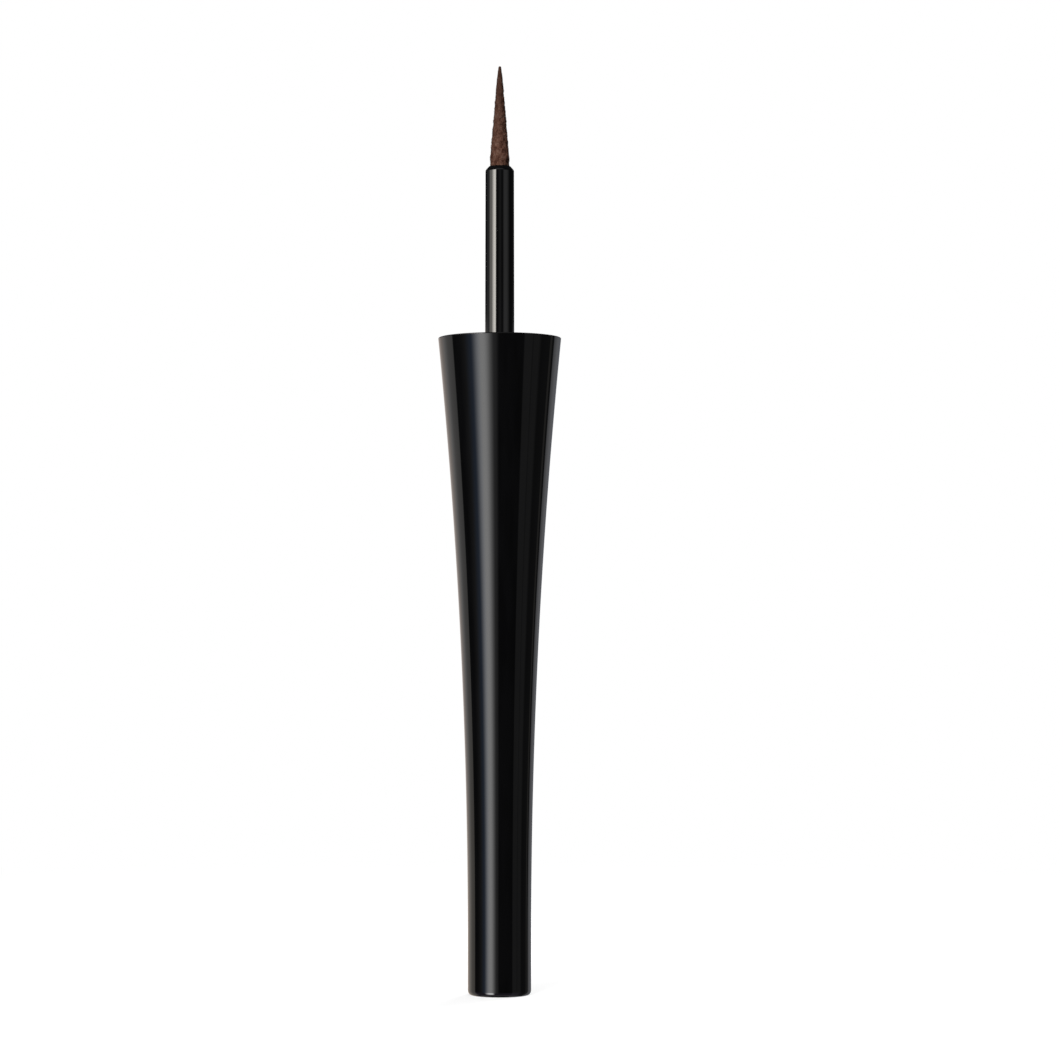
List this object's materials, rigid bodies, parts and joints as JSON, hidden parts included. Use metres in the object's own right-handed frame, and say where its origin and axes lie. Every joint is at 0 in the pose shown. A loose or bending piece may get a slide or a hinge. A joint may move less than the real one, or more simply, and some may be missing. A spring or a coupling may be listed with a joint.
{
  "type": "liquid eyeliner applicator",
  "caption": "Glossy black flared cap that is also the handle, with a dip stem and a brown flocked tapered tip for drawing liquid eyeliner.",
  "frame": {"origin": "centre of the flat closed end of the cap, on the surface that it stands on", "axes": "+Z along the axis from the closed end of the cap to the point of the tip; X and Y are equal"},
  "size_m": [0.0142, 0.0142, 0.107],
  "materials": {
    "shell_plastic": "high-gloss moulded black",
    "insert_plastic": "matt moulded black",
    "seal_rubber": "soft grey",
    "stem_plastic": "glossy moulded black",
    "core_rubber": "soft brown elastomer",
    "tip_flock": "short brown fibre flock, mottled",
    "weight_steel": "turned"
  },
  "bodies": {
    "root": {"cap_shell": "shell_plastic", "thread_insert": "insert_plastic", "neck_seal": "seal_rubber", "stem": "stem_plastic", "tip_core": "core_rubber", "flocked_tip": "tip_flock", "handle_weight": "weight_steel"}
  },
  "joints": []
}
